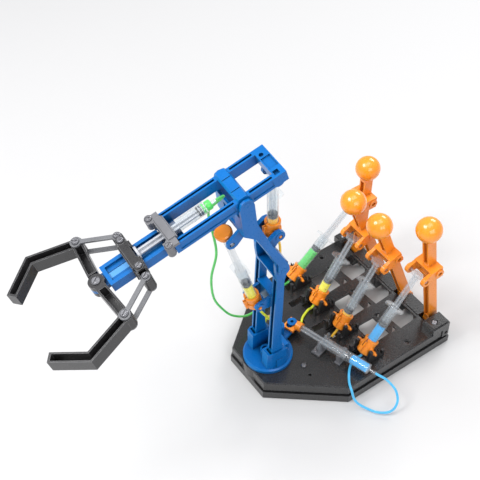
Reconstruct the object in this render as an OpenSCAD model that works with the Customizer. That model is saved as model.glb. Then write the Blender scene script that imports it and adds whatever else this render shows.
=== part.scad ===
// Hydraulic toy robot arm: four lever-worked master syringes drive slew, tilt, pitch and gripper.
// Units mm, +Z up, +X towards the gripper, origin on the turntable axis at ground level.
// Parts named near lie on the +Y side, parts named far on the -Y side.

/* [Levers] */
// Ball knob diameter
knob_d = 25; // [22:0.5:26]
// Lever stem width across the stem
stem_w = 8; // [7:0.25:8.5]
// Depth of the groove down the front of each lever
stem_groove = 3; // [1.5:0.5:4]

/* [Syringes] */
// Barrel outside diameter
barrel_d = 10.4; // [9.8:0.1:10.6]
// Barrel wall thickness
barrel_wall = 0.7; // [0.5:0.1:0.9]
// Finger flange length
flange_l = 20; // [17:0.5:20]

/* [Gripper] */
// Wall thickness of the jaw channel
jaw_wall = 1.6; // [1.2:0.1:2]
// Jaw channel width
jaw_w = 9; // [8:0.25:9.5]

/* [Tubes] */
// Fluid tube outside diameter
tube_d = 2.4; // [2:0.2:2.6]

/* [Base] */
// Depth of the shadow groove round the base
base_groove = 1.4; // [0.6:0.2:2]
// Thickness of the base deck plate
deck_t = 2.6; // [2:0.2:3.4]

/* [Hidden] */
// Pins, screws and their bores
pin_r = 2;
pin_bore = pin_r + 0.05;
pivot_bore = pin_r + 0.06;
small_screw_r = 1.3;
link_screw_r = 1.6;
pin_head_r = 3.2;

// Syringes
barrel_r = barrel_d/2;
bore_r = barrel_r - barrel_wall;
nozzle_r = 1.7;
nozzle_bore = 0.8;
ear_y = 8.15;                     // inner face of the ears that hold a collar

// Levers and master syringes; pairs are [x, z]
lever_pitch = 38.2;
lever_y = [for (i=[0:3]) -59.3 + lever_pitch*i];
gap_y = [for (i=[0:2]) lever_y[i] + lever_pitch/2];
lever_tilt = [-2, 19.5, 19.5, 8.4];
fork_h = [76, 88, 88, 88];        // fork height on each lever
ball_h = [116, 138, 138, 144];    // ball height on each lever
rod_l = [62, 54.5, 62, 62];       // master plunger lengths
fork_reach = 15;
axle = [-161, 15.2];
master_foot = [-78, 31.7];

// Base
deck_z = 21.2;
deck_under = deck_z - deck_t;
seat_r = 25.6;                    // turntable seat, reaching the front edge
block_y = [[-78.35, -66.25], [62.25, 78.35]];   // y spans of the two axle blocks
block_x = [-164.4, -143.5];
block_fit = 0.05;
block_screw_x = -151;
block_screw_z = 29.4;
deck_screw = [-19.6, 31.8];

// Slew drive, [x, y]
crank = [-37.04, -10.59];
slew_heading = 105.945;
slew_z = 32;
cradle_screw = [35, 8.8];         // in the slew frame, on both sides

// Arm; pairs are [x, z] in the yawed arm frame
arm_yaw = -4;
boom_pitch = 15.7;
boom_z = 279.2;
hinge = [-3.5, 163];
link_y = 21.4;                    // outer face of the link
tilt_foot = [15.3, 113.8];
tilt_head = [42.6, 216.5];
pitch_foot = [-5.2, 198];
pitch_head = [-5, 262];

// Boom and gripper, in the boom frame
boom_pivot = [35, -6];            // [x, z]
grip_z = -4;                      // gripper syringe axis
clamp_screw = [105, 17.2];        // this and the rest are [x, y]
jaw_pivot = [167, 0];
jaw_elbow = [163, 44];
head_pin = [133, 25];
cap_screw = [133, 15.8];
jaw_bottom = -17;
jaw_top = -4;

BLUE = [0, 0.39, 0.71];
ORANGE = [0.96, 0.58, 0.12];
CHARCOAL = [0.27, 0.27, 0.28];
BLACK = [0.1, 0.1, 0.11];
CLEAR = [0.85, 0.9, 0.93, 0.5];
SILVER = [0.72, 0.73, 0.75];
GREY = [0.42, 0.43, 0.45];

// ---------- shape helpers ----------
module box(x0, x1, y0, y1, z0, z1) {
  translate([x0, y0, z0]) cube([x1-x0, y1-y0, z1-z0]);
}
module x_rod(r, x0, x1, z) {
  translate([x0, 0, z]) rotate([0, 90, 0]) cylinder(r=r, h=x1-x0);
}
// at = [x, z]
module y_rod(r, y0, y1, at=[0, 0]) {
  translate([at[0], y0, at[1]]) rotate([-90, 0, 0]) cylinder(r=r, h=y1-y0);
}
// at = [x, y]
module z_rod(r, z0, z1, at=[0, 0]) {
  translate([at[0], at[1], z0]) cylinder(r=r, h=z1-z0);
}
// An [x, z] outline extruded from y0 to y1
module y_slab(y0, y1, outline) {
  translate([0, y1, 0]) rotate([90, 0, 0]) linear_extrude(y1-y0) polygon(outline);
}
module both_sides() {
  children();
  mirror([0, 1, 0]) children();
}
// Slotted pan-head screw, head on +z, shank down
module screw(shank_r, length, head_r, head_h=1.8) {
  difference() {
    union() {
      z_rod(shank_r, -length, 0.3);
      cylinder(r=head_r, h=head_h*0.6);
      translate([0, 0, head_h*0.6]) cylinder(r1=head_r, r2=head_r*0.72, h=head_h*0.4);
    }
    rotate([0, 0, 35])
      translate([-head_r*0.74, -0.4, head_h-0.9]) cube([head_r*1.48, 0.8, 2]);
  }
}
// Dished-head pins driven in from both outer faces of the link, at = [x, z]
module flush_pins(at, length) {
  both_sides() translate([at[0], link_y, at[1]]) rotate([-90, 0, 0]) {
    z_rod(pin_r, -length, 0);
    difference() {
      z_rod(pin_head_r, -1.1, 0.2);
      z_rod(pin_head_r*0.45, -0.3, 1.7);
    }
  }
}

// ---------- frames ----------
module in_arm() {
  rotate([0, 0, arm_yaw]) children();
}
// From the arm frame to the boom frame: x along the boom, nose down
module boom_tilt() {
  translate([0, 0, boom_z]) rotate([0, boom_pitch, 0]) children();
}
module in_boom() {
  in_arm() boom_tilt() children();
}
// Gripper syringe: z along the boom
module in_grip() {
  in_boom() translate([0, 0, grip_z]) rotate([0, 90, 0]) children();
}
// Origin under the crank pin, x along the slew syringe
module in_slew() {
  translate([crank.x, crank.y, 0]) rotate([0, 0, slew_heading]) children();
}
module in_slew_syringe() {
  in_slew() translate([0, 0, slew_z]) rotate([0, 90, 0]) children();
}
module at_lever(i) {
  translate([axle[0], lever_y[i], axle[1]]) rotate([0, lever_tilt[i], 0]) children();
}
// Tilt from vertical of the line from foot to head, both [x, z]
function lean(foot, head) = atan2(head[0]-foot[0], head[1]-foot[1]);
// z along the syringe, origin on the collar's trunnions
module in_syringe(foot, head, y=0) {
  translate([foot[0], y, foot[1]]) rotate([0, lean(foot, head), 0]) children();
}
// Fork pin of lever i, [x, z]
function fork_pin(i) = let(c=cos(lever_tilt[i]), s=sin(lever_tilt[i]))
  axle + [fork_h[i]*s + fork_reach*c, fork_h[i]*c - fork_reach*s];

// ---------- syringe parts, z along the syringe ----------
module syringe_barrel(flange_z, base_z=-5, tip_z=-10) {
  difference() {
    union() {
      z_rod(barrel_r, base_z, flange_z+0.5);
      translate([0, 0, flange_z]) intersection() {
        cylinder(r=flange_l/2, h=1.6);
        box(-6, 6, -15, 15, 0, 1.6);
      }
      z_rod(nozzle_r, tip_z, base_z+0.5);
    }
    z_rod(bore_r, base_z+1, flange_z+4);
    z_rod(nozzle_bore, tip_z-1, base_z+3);
  }
}
module syringe_collar(pin_end=13.6) {
  difference() {
    union() {
      z_rod(7.1, -6.5, -5.7);
      z_rod(7.6, -5.7, 1);
      z_rod(6.7, 0.9, 7.7);
      z_rod(7.2, 7.5, 9.5);
      // stepped trunnions
      both_sides() {
        y_rod(3.4, 5.8, 7.95);
        y_rod(pin_r, 7, 11.4);
        y_rod(1.3, 11.3, pin_end);
      }
      box(5.6, 9.6, -1.6, 1.6, -4.5, 6.5);
    }
    z_rod(barrel_r+0.03, -5.05, 24.95);
    z_rod(1.95, -7.5, -3.5);
    box(5, 11, -0.5, 0.5, 1.1, 21.1);
  }
}
// Crown at z = 0, rings stacked towards +z and set down by drop
module piston(drop=0) {
  seal_r = bore_r - 0.06;
  cylinder(r1=bore_r-0.9, r2=seal_r, h=0.8);
  z_rod(seal_r, 0.8-drop, 2.1-drop);
  z_rod(bore_r-0.7, 2-drop, 3-drop);
  z_rod(seal_r, 2.9-drop, 4.2-drop);
}
// Cross-section rod of two crossed ribs
module ribs(width, thick, z0, z1) {
  box(-width/2, width/2, -thick/2, thick/2, z0, z1);
  box(-thick/2, thick/2, -width/2, width/2, z0, z1);
}
// Thumb disc centred at head_z, with a cross pin through it
module syringe_plunger(head_z, length, pin_end=12.2, disc_r=6.6) {
  crown_z = head_z - length;
  translate([0, 0, crown_z]) piston();
  ribs(6.6, 1.2, crown_z+4, head_z-1);
  z_rod(disc_r, head_z-1.6, head_z+1.6);
  both_sides() y_rod(1.6, 2, pin_end, [0, head_z]);
}

// ---------- base ----------
module base_outline(inset) {
  front = seat_r - inset;
  rear = -165 + inset;
  side = 79 - inset;
  shoulder = -38 - inset*0.4;
  polygon([[front, -27+inset*0.4], [front, 27-inset*0.4], [shoulder, side],
    [rear, side], [rear, -side], [shoulder, -side]]);
}
module base_body() {
  // skirt, shadow groove, upper tier and deck edge
  linear_extrude(8.6) base_outline(0);
  translate([0, 0, 8.5]) linear_extrude(2.2) base_outline(base_groove+1.6);
  translate([0, 0, 10.6]) linear_extrude(deck_z-11.6) base_outline(1.6);
  translate([0, 0, deck_z-1.05]) linear_extrude(1.05) base_outline(2.4);
  z_rod(seat_r, 0, deck_z+0.01);
}
// Hollow underside, leaving the rim, ribs and deck plate
module base_hollow() {
  difference() {
    translate([0, 0, -1]) linear_extrude(1+deck_under) base_outline(4.6);
    cylinder(r=14, h=30);
    // rear band, hollowed between the levers
    difference() {
      box(-166, -146, -80, 80, -1, 30);
      for (i=[0:2]) box(-161, -145, lever_y[i]+9.6, lever_y[i+1]-9.6, -2, deck_under);
      box(-161, -140, -76, 76, -2, 6);
    }
    for (y=lever_y) box(-90, -60, y-12.5, y+12.5, 14, 30);
    for (i=[0, 1, 3]) box(-90, -40, lever_y[i]-1, lever_y[i]+1, 8, 30);
    box(-118.6, -117, -60, 60, 15, 30);
  }
}
module deck_cut(outline) {
  translate([0, 0, -1]) linear_extrude(31) polygon(outline);
}
// Windows between the levers, set about the middle of a gap
module deck_windows() {
  deck_cut([[-123, -5.5], [-140, -13.5], [-146.8, -12.4], [-146.8, 14], [-125, 15.4]]);
  deck_cut([[-90.7, -12], [-111.4, -11.6], [-112.4, 13.4], [-94, 14.4], [-90.7, 8]]);
  deck_cut([[-120.6, 8.6], [-114.6, 14.2], [-120.6, 14.2]]);
  deck_cut([[-121, -12], [-114, -14], [-115.4, -8]]);
}
module base_openings() {
  // rear slots for the levers, and recesses between them
  for (y=lever_y) box(-170, -149.5, y-6.6, y+6.6, 4, 40);
  for (i=[0:2]) box(-149.6, -148.2, lever_y[i]+6.4, lever_y[i+1]-6.4, 13, 40);
  // trim along the top of the rear edge
  box(-170, -163.4, -60, 56, 17, 40);
  // sockets under the collars
  for (y=lever_y) box(-88, -63, y-7.9, y+7.9, 16.6, 40);
  for (y=gap_y) translate([0, y, 0]) deck_windows();
  // rectangular openings in front of the brackets
  for (i=[0, 1]) box(-70, -53.5, gap_y[i]+0.9, gap_y[i]+8.1, -1, 40);
  // ways through the deck for the pitch and tilt tubes: [x, y, radius]
  box(-70, -57.5, 14.7, 19.5, -1, 40);
  for (hole=[[-10.6, -30.4, 2.8], [-17.7, -29.4, 2.8], [-49.4, -11.6, 3.7]])
    z_rod(hole[2], 10, 30, hole);
}
module base_holes() {
  y_rod(pin_bore, -90, 90, axle);
  both_sides() {
    z_rod(2, -1, 39, [-119, 68]);
    z_rod(3.4, deck_z-1, deck_z+3, [-119, 68]);
    z_rod(1.6, -1, 39, [-18, 43.8]);
  }
  z_rod(1.3, deck_z-5, deck_z+15, deck_screw);
  in_slew() both_sides() z_rod(small_screw_r+0.05, deck_z-9, deck_z+11, cradle_screw);
  // screw holes and corner notches for the axle blocks
  for (span=block_y) {
    z_rod(small_screw_r+0.05, 11, 31, [block_screw_x, middle(span)]);
    box(-170, -156.4, span[0]-block_fit, span[1]+block_fit, 10.6, 40);
  }
  // bore for the turntable's spigot
  z_rod(10.06, -1, 39);
}
module base_deck() color(CHARCOAL) difference() {
  base_body();
  base_hollow();
  base_openings();
  base_holes();
}
function middle(span) = (span[0]+span[1])/2;
// Blocks screwed on the rear corners; they clamp the lever axle's ends
module axle_blocks() color(CHARCOAL) for (span=block_y) difference() {
  union() {
    box(block_x[0], block_x[1], span[0], span[1], deck_z+0.02, 29.2);
    box(block_x[0]+1.2, block_x[1]-1.2, span[0]+1.15, span[1]-1.15, 29.1, 31);
    box(block_x[0], -156.4-block_fit, span[0], span[1], 10.6+block_fit, 22);
  }
  y_rod(pin_bore, -90, 90, axle);
  z_rod(small_screw_r+0.05, 10, 50, [block_screw_x, middle(span)]);
  z_rod(3.4, block_screw_z, block_screw_z+4, [block_screw_x, middle(span)]);
}
module base_screws() color(GREY) {
  for (span=block_y)
    translate([block_screw_x, middle(span), block_screw_z]) screw(small_screw_r, 12, 3);
  translate([deck_screw.x, deck_screw.y, deck_z]) screw(1.25, 4.5, 2.6);
  in_slew() for (side=[-1, 1])
    translate([cradle_screw.x, side*cradle_screw.y, deck_z+2.2])
      screw(small_screw_r, 9, 2.4, 1.4);
}
// One side of a bracket: slotted ear, foot and a post at each end
module bracket_side() {
  ear_out = 11.2;
  x = master_foot[0];
  difference() {
    union() {
      y_slab(ear_y, ear_out, [[-86, deck_z], [-70, deck_z], [-71.6, 29],
        [-73.2, 36.2], [-82.8, 36.2], [-84.4, 29]]);
      box(-88.4, -66.6, ear_y, ear_out, deck_z, deck_z+2.4);
    }
    y_rod(pin_bore, ear_y-1, ear_out+1, master_foot);
    box(x-pin_bore, x+pin_bore, ear_y-1, ear_out+1, master_foot[1], 40);
    box(-83.4, -80.6, ear_y-1, ear_out+1, 30.5, 40);
  }
  box(-67.3, -64.9, 8.2, ear_out, deck_z, deck_z+11);
  box(-90.5, -88.3, 8.2, ear_out, deck_z, deck_z+7.4);
}
module master_brackets() color(BLACK)
  for (y=lever_y) translate([0, y, 0]) both_sides() bracket_side();
module lever_axle() color(SILVER) y_rod(pin_r, -76, 76, axle);
module slew_cradle() color(GREY) in_slew() difference() {
  union() {
    box(32.4, 41.6, -11.6, 11.6, deck_z, deck_z+2.2);
    box(35.2, 41, -5.9, 5.9, deck_z+2, 34.4);
    box(57, 63, -7.4, 7.4, deck_z, deck_z+1.6);
    box(58, 62, -6.6, 6.6, deck_z, 33.2);
  }
  // open-topped barrel seat
  x_rod(barrel_r+0.05, 0, 80, slew_z);
  box(34, 64, -barrel_r-0.05, barrel_r+0.05, slew_z, 60);
  // slot for the barrel flange
  box(37.95, 39.75, -12, 12, 25.8, 60);
  both_sides() z_rod(small_screw_r+0.06, 10, 40, cradle_screw);
}

// ---------- turntable and column ----------
// Cheeks that hold the column's feet, trimmed to a circle
module turntable_cheeks() {
  in_arm() intersection() {
    z_rod(21.6, 25.5, 46.8);
    union() {
      both_sides() {
        y_slab(8.6, 20.2, [[-13, 20], [12.4, 20], [11.4, 48], [-6.4, 48], [-13, 38]]);
        box(-10, 3, 18, 21.6, 20, 36);
      }
      box(-16, -8, -12, 12, 20, 40);
    }
  }
}
module turntable() color(BLUE) difference() {
  boss = [-21.4, -9.4];
  cup = [2.5, 0];
  union() {
    z_rod(24.2, deck_z+0.1, deck_z+3.5);
    translate([0, 0, deck_z+3.4]) cylinder(r1=24.2, r2=22.8, h=1.4);
    turntable_cheeks();
    z_rod(5.4, 25.5, 31.5, cup);
    // crank arm and headed slew pin
    rotate([0, 0, atan2(crank.y, crank.x)]) box(16, 38.5, -5.7, 5.7, 25.4, 28.7);
    z_rod(6.2, 25.2, 29, crank);
    z_rod(3.2, 28.9, 33.2, crank);
    z_rod(4.7, 31.95, 33.2, crank);
    z_rod(4.5, 24.6, 40, boss);
    // spigot through the base
    z_rod(10, 4, 24);
  }
  z_rod(7.5, 1, 20);
  z_rod(2.2, 34, 54, boss);
  z_rod(1.7, 30.4, 50.4, crank);
  // seats for the column's members
  in_arm() both_sides() box(-5.06, 8.76, 10.54, 18.36, 26.6, 60);
  z_rod(3.6, 27, 37, cup);
}
// [x, z] outlines of the column: its head, shared by the members and the crossbar
column_head = [[2.8, 160], [3.2, 170], [1.4, 174], [-6, 174], [-9.5, 169], [-9.5, 157]];
column_member = concat([[8.7, 26.7], [6.8, 45], [4.4, 95], [1.2, 150]], column_head,
  [[-6.2, 146], [-5, 110], [-4, 89], [-3.4, 69], [-5, 34], [-5, 26.7]]);
column_bar = concat([[1.4, 148.6]], column_head, [[-6.2, 148.6]]);
tilt_ear = [[1, 107], [9, 108.4], [15.3, 109.2], [18.4, 110.4], [19.9, 113.8],
  [18.4, 117.2], [15.3, 118.4], [9, 120], [1, 122]];
module column() color(BLUE) in_arm() difference() {
  union() {
    both_sides() y_slab(10.6, 18.3, column_member);
    y_slab(-18.3, 18.3, column_bar);
    // mid rung
    box(-3.6, 3.4, -11, 11, 107, 125.5);
    box(-4.6, 4.4, -11, 11, 123.6, 125.5);
    // ears for the tilt syringe
    both_sides() {
      y_slab(ear_y, 10.9, tilt_ear);
      y_rod(4.2, 8.3, 12, tilt_foot);
    }
  }
  both_sides() {
    // open channels down the front of both members
    box(-2, 30, 12.5, 16.5, 49, 147);
    y_slab(12.5, 16.5, [[-1, 100], [-1.6, 147], [-4, 147], [-3, 100]]);
    y_rod(pivot_bore, 9, 30, hinge);
    y_rod(pin_bore, 7, 14, tilt_foot);
  }
  // recess in the crossbar front
  box(-6.6, 10, -14.6, 14.6, 151.4, 171.6);
}
module link_hinge_pins() color(BLUE) in_arm() flush_pins(hinge, 9.2);

// ---------- link: [x, z] outlines ----------
link_side = [[-9.2, 165.5], [-8.6, 168.5], [8, 202], [15.7, 220], [23, 238.5], [25.2, 262],
  [26.8, 267.5], [30, 269.6], [34.5, 269.6], [37.6, 267.5], [39, 262], [35.8, 229],
  [24.4, 219.6], [13.6, 198], [1.6, 172], [1.2, 160.5], [-1, 158], [-4, 157],
  [-7.6, 158.8], [-9.4, 161.5]];
link_ties = [[[27.5, 222], [35.4, 228.6], [34, 230.4], [26, 224]],
  [[3.4, 183.2], [7.6, 183.2], [10.2, 190], [10.2, 193.2], [6.4, 193.2]]];
front_ear = [[29, 223], [38, 213], [41, 211.3], [45.4, 212], [47.6, 215], [47.2, 219.4],
  [44.6, 221.6], [35.6, 229.6]];
rear_ear = [[7, 183.2], [9.6, 190], [9.6, 193.2], [4, 199], [-1.8, 203.4], [-6.4, 203.4],
  [-9.8, 200.4], [-10, 196], [-7.6, 193.4], [-3.4, 192.2], [3.8, 183.2]];
// Pivot bore with a recess for a flush pin's head
module pin_seat(at, bore_y) {
  y_rod(pivot_bore, bore_y, 30, at);
  y_rod(pin_head_r+0.06, link_y-1.16, 30, at);
}
module link_frame() color(BLUE) in_arm() difference() {
  cross_y = 18.7;
  union() {
    both_sides() y_slab(18.6, link_y, link_side);
    // front cross plate, with a window
    difference() {
      y_slab(-cross_y, cross_y, [[33.4, 228.4], [35.8, 228.4], [38, 250.5], [35.6, 250.5]]);
      box(20, 50, -8.5, 8.5, 233, 246.5);
    }
    for (tie=link_ties) y_slab(-cross_y, cross_y, tie);
    both_sides() {
      // ears for the tilt syringe's plunger and the pitch syringe's collar
      y_slab(10.6, 13.4, front_ear);
      y_slab(ear_y, 12.4, rear_ear);
      y_rod(4.6, 8.2, 12.9, pitch_foot);
    }
  }
  both_sides() {
    pin_seat(hinge, 10);
    y_rod(2.4, 9, 20, tilt_head);
    y_rod(pin_bore, 7, 20, pitch_foot);
  }
  boom_tilt() both_sides() pin_seat(boom_pivot, 17);
}

// ---------- boom ----------
module boom_body() {
  box(-6.4, 4.2, -18.2, 18.2, -11, 0);
  both_sides() box(4, 101, 12.9, 18.2, -11, 0);
  // raised saddle band in three facets
  y_slab(-18.2, 18.2, [[29.5, -0.5], [31.2, 2.4], [39.4, 2.4], [41, -0.5]]);
  // cross web and tongue
  box(88, 101, -13, 13, -15, -10.2);
  box(96, 159, -11, 11, -15, -10.2);
  box(104.2, 159, -11, 11, -10.3, -5.5);
  box(158.8, 167, -6.9, 6.9, -12.2, -8.4);
  z_rod(7, -12.2, -8.4, jaw_pivot);
  // lugs for the pitch syringe
  both_sides() {
    box(-6.2, 3.6, 7.4, 10.2, -19.6, -10);
    y_rod(5.2, 7.4, 10.2, [-0.16, -18]);
  }
}
module boom_frame() color(BLUE) in_boom() difference() {
  boom_body();
  // top grooves and outer channels
  both_sides() {
    box(6, 28, 14.5, 16.6, -3.5, 1);
    box(43, 99, 14.5, 16.6, -3.5, 1);
    box(7, 27, 17.4, 20, -8.6, -2.4);
    box(44, 97, 17.4, 20, -8.6, -2.4);
  }
  box(-3, 1.5, -12, 12, -20, -8.6);
  // cuts in the saddle band
  both_sides() box(28, 42, 7, 8, 1.6, 4);
  // rear end block: hole and recesses
  z_rod(2.1, -3, 2, [0.2, -9.7]);
  box(-2, 3, 11, 16, -3, 1);
  box(-5.4, 3.2, -6, 8, -1.6, 1);
  // tongue channel and barrel seat
  box(95, 155.6, -7.6, 7.6, -8.2, 0);
  box(106, 155.6, -3.2, 3.2, -9, 0);
  x_rod(barrel_r+0.05, 88, 105, grip_z);
  // pivots
  both_sides() y_rod(pivot_bore, 8, 22, boom_pivot);
  z_rod(pin_bore, -30, 10, jaw_pivot);
  y_rod(2.9, -20, 20, [-0.24, -17.86]);
}
module boom_pivot_pins() color(BLUE) in_boom() flush_pins(boom_pivot, 8);
module syringe_clamp() color(GREY) in_boom() difference() {
  union() {
    box(94.4, 103.4, -12.7, 12.7, -9.6, 2.6);
    y_slab(-12.7, 12.7, [[94.4, 2], [96, 4], [101.8, 4], [103.4, 2]]);
    both_sides() {
      box(96.4, 108, 12, 19.4, 0.1, 2.9);
      z_rod(3.7, -7.6, 2.9, clamp_screw);
      box(101.4, clamp_screw.x, 11, clamp_screw.y, -7.6, 2.9);
    }
  }
  x_rod(barrel_r+0.06, 80, 120, grip_z);
  // recess for the barrel flange
  box(102.3, 110, -10.2, 10.2, grip_z-6.36, grip_z+6.1);
  both_sides() z_rod(small_screw_r+0.06, -9, 11, clamp_screw);
  box(102.3, 110, -8, 8, -12, -8.2);
}
module clamp_screws() color(SILVER) in_boom() both_sides()
  translate([clamp_screw.x, clamp_screw.y, 2.9]) screw(small_screw_r, 9, 3.2);
module gripper_barrel() color(CLEAR) in_grip() difference() {
  union() {
    z_rod(barrel_r, 62, 103.5);
    z_rod(3.4, 57.8, 62.2);
    z_rod(nozzle_r, 52, 58);
    intersection() {
      z_rod(9.6, 102.4, 103.9);
      box(-5.9, 5.9, -9.6, 9.6, 102.4, 103.9);
    }
  }
  z_rod(bore_r, 63, 113);
  z_rod(nozzle_bore, 50, 70);
}
module gripper_plunger() color(SILVER) in_grip() {
  translate([0, 0, 65]) piston(0.1);
  ribs(6.4, 1.4, 69, 127);
  // disc with one side cut flat
  intersection() {
    z_rod(6, 126.4, 128.4);
    box(-6, 3.6, -6, 6, 126.4, 128.4);
  }
}

// ---------- gripper ----------
module crosshead() color(BLACK) in_boom() difference() {
  union() {
    box(127.4, 138.6, -13.2, 13.2, -17.2, -0.4);
    box(129, 137, -14, 14, -0.5, 1.4);
    both_sides() {
      box(128.4, 137.6, 13, head_pin.y, -16.9, -4.1);
      z_rod(4.6, -16.9, -4.1, head_pin);
      z_rod(4.2, -6, 2, cap_screw);
      box(131.6, 134.4, 11, cap_screw.y, -0.5, 1.4);
    }
  }
  // way for the boom's tongue
  box(120, 150, -11.15, 11.15, -15.15, -5.3);
  // plunger disc pocket
  box(120, 129.9, -6.3, 6.3, -8, grip_z+6.3);
  box(120, 128.3, -6.3, 6.3, -8, 10);
  both_sides() {
    z_rod(link_screw_r+0.05, -30, 30, head_pin);
    z_rod(small_screw_r+0.06, -4, 16, cap_screw);
    box(130, 136, 17.5, 21.5, -14, 0);
  }
}
module crosshead_screws() color(SILVER) in_boom() both_sides() {
  translate([cap_screw.x, cap_screw.y, 2]) screw(small_screw_r, 5.5, 3);
  translate([head_pin.x, head_pin.y, -1.7]) screw(link_screw_r, 18.6, 3.1);
}
// Outline of a band of half width w along a centre line, with mitred corners
function unit(v) = v/norm(v);
function normal(v) = [-v.y, v.x];
function mitre(line, i, w) = let(
    before = i==0 ? unit(line[1]-line[0]) : unit(line[i]-line[i-1]),
    after = i==len(line)-1 ? before : unit(line[i+1]-line[i]),
    split = unit(normal(before)+normal(after)))
  line[i] + split*(w/(split*normal(before)));
function band(line, w) = concat([for (i=[0:len(line)-1]) mitre(line, i, w)],
  [for (i=[len(line)-1:-1:0]) mitre(line, i, -w)]);
// [x, y] centre lines of the jaw and of the channel sunk in it
jaw_bend = [202.6, 57];
jaw_line = [jaw_pivot, jaw_elbow, jaw_bend, [229.5, 35.5]];
channel_line = [[166.2, 9], jaw_elbow, jaw_bend, [227.9, 36.8]];
// Near jaw; its pivot tab spans tab_z0 to tab_z1
module jaw(tab_z0, tab_z1) {
  difference() {
    union() {
      difference() {
        translate([0, 0, jaw_bottom]) linear_extrude(jaw_top-jaw_bottom)
          polygon(band(jaw_line, jaw_w/2));
        box(150, 180, -9, 8, -30, 30);
      }
      translate([0, 0, tab_z0]) linear_extrude(tab_z1-tab_z0)
        polygon(band([jaw_pivot, [165.9, 12]], 4.5));
      z_rod(7, tab_z0, tab_z1, jaw_pivot);
      z_rod(5.6, jaw_bottom, jaw_top, jaw_elbow);
    }
    // channel, keeping the elbow boss and the pivot end
    translate([0, 0, jaw_bottom+jaw_wall]) linear_extrude(20) difference() {
      polygon(band(channel_line, jaw_w/2-jaw_wall));
      translate(jaw_elbow) circle(r=4.2);
      translate([150, -12]) square([40, 21.5]);
    }
    z_rod(pivot_bore, -30, 30, jaw_pivot);
    z_rod(link_screw_r+0.04, -30, 30, jaw_elbow);
  }
}
module jaw_near() color(BLACK) in_boom() jaw(-8.3, jaw_top);
module jaw_far() color(BLACK) in_boom() mirror([0, 1, 0]) jaw(jaw_bottom, -12.3);
module jaw_pivot_screw() color(SILVER) in_boom() translate([jaw_pivot.x, 0, -3.9]) {
  screw(pin_r, 15, 4);
  z_rod(3.4, -15, -13.2);
}
module jaw_screw() {
  translate([jaw_elbow.x, jaw_elbow.y, -1.6]) screw(link_screw_r, 18.6, 3.4);
}
module jaw_screw_near() color(SILVER) in_boom() jaw_screw();
module jaw_screw_far() color(SILVER) in_boom() mirror([0, 1, 0]) jaw_screw();
// Flat bars from crosshead to jaw elbow, one above and one below
module link_rods() {
  run = jaw_elbow - head_pin;
  for (z=[-3.8, -19.2]) difference() {
    union() {
      z_rod(3.9, z, z+2, head_pin);
      z_rod(4.9, z, z+2, jaw_elbow);
      translate([head_pin.x, head_pin.y, z]) rotate([0, 0, atan2(run.y, run.x)])
        box(0, 35.5, -1.9, 1.9, 0, 2);
    }
    z_rod(link_screw_r+0.06, z-1, z+3, head_pin);
    z_rod(2.75, z-1, z+3, jaw_elbow);
  }
}
module link_rod_near() color(SILVER) in_boom() link_rods();
module link_rod_far() color(SILVER) in_boom() mirror([0, 1, 0]) link_rods();

// ---------- levers and master syringes, i = 0 to 3 ----------
fork_arm = [[4, -6.4], [13, -5], [17, -4.6], [19.6, -2.2], [19.6, 2.2], [17, 4.6],
  [13, 5], [4, 6.4]];
module lever(i) color(ORANGE) at_lever(i) difference() {
  fork_z = fork_h[i];
  ball_z = ball_h[i];
  stem_front = 5;
  groove_x = stem_front - stem_groove;
  groove_y = stem_w/2 - 1.7;
  union() {
    y_rod(6, -5, 5);
    box(-5, stem_front, -stem_w/2, stem_w/2, 0, ball_z-11.6);
    z_rod(4.6, ball_z-13, ball_z-11);
    z_rod(2.5, ball_z-12, ball_z-4);
    // fork: web and two arms
    translate([0, 0, fork_z]) {
      box(-5.8, 8, -12.2, 12.2, -6.5, 6.5);
      both_sides() {
        y_slab(9.1, 12.2, fork_arm);
        y_rod(4.9, 9.1, 13, [fork_reach, 0]);
        y_rod(4.6, 8, 13.4, [-1.2, 0]);
      }
    }
  }
  y_rod(pivot_bore, -10, 10);
  // grooves below and above the fork
  box(groove_x, 7, -groove_y, groove_y, 10, fork_z-10);
  box(groove_x, 7, -groove_y, groove_y, fork_z+8.4, ball_z-16);
  both_sides() {
    y_rod(2.4, 6, 15, [fork_reach, fork_z]);
    y_rod(2.2, 11.4, 15, [-1.2, fork_z]);
  }
  box(6.4, 12, -6, 6, fork_z-3, fork_z+3);
}
module knob(i) color(ORANGE) at_lever(i) translate([0, 0, ball_h[i]]) difference() {
  sphere(r=knob_d/2);
  z_rod(2.55, -16, -3.6);
  z_rod(4.7, -16, -10.94);
}
module in_master(i) {
  in_syringe(master_foot, fork_pin(i), lever_y[i]) children();
}
module master_barrel(i) color(CLEAR) in_master(i) syringe_barrel(47.5);
module master_collar(i) color(ORANGE) in_master(i) syringe_collar();
module master_plunger(i) color(CLEAR) in_master(i)
  syringe_plunger(norm(fork_pin(i)-master_foot), rod_l[i]);

// ---------- slave syringes ----------
tilt_l = norm(tilt_head-tilt_foot);
pitch_l = norm(pitch_head-pitch_foot);
module in_front() {
  in_arm() in_syringe(tilt_foot, tilt_head) children();
}
module front_barrel() color(CLEAR) in_front() syringe_barrel(50.5);
module front_collar() color(ORANGE) in_front() syringe_collar(12.6);
module front_plunger() color(CLEAR) in_front() syringe_plunger(tilt_l, 80, 13.6, 5);
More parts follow.
